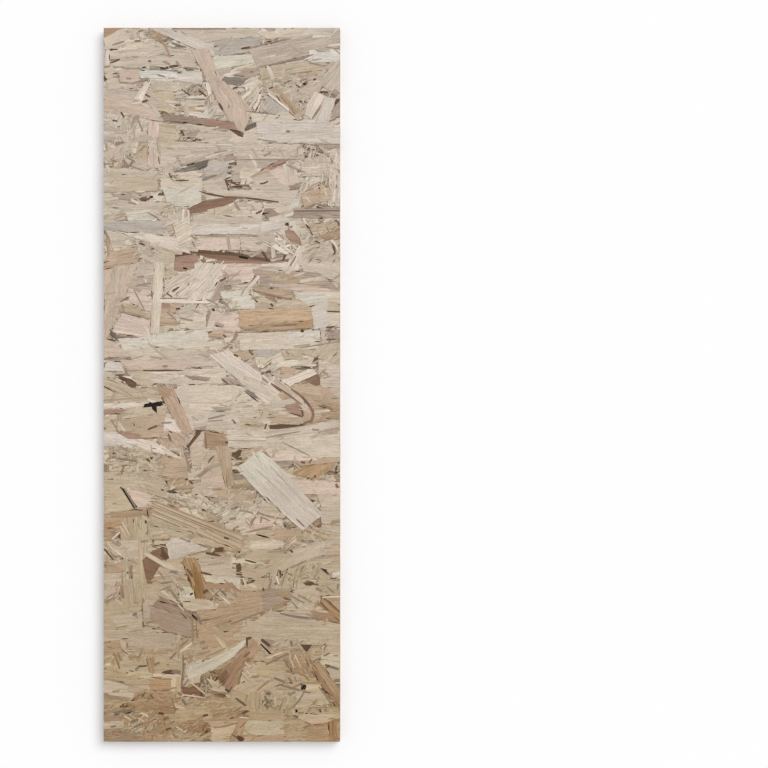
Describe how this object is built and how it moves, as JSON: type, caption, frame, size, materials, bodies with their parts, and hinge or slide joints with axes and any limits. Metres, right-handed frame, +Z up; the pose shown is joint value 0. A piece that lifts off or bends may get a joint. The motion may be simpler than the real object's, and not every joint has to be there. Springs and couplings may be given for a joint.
{
  "type": "osb panel",
  "caption": "Flat rectangular sawn panel of pressed wood strands, square on all edges, for sheathing, shelves, packing and small builds.",
  "frame": {"origin": "centre of the underside, where the panel rests", "axes": "+X across the panel's width, +Y along its length, +Z up out of the show face"},
  "size_m": [0.298, 0.9, 0.018],
  "materials": {
    "strand_board": "unsanded pressed softwood strands, matt, with resin-darkened edges"
  },
  "bodies": {
    "root": {"osb_panel": "strand_board"}
  },
  "joints": []
}
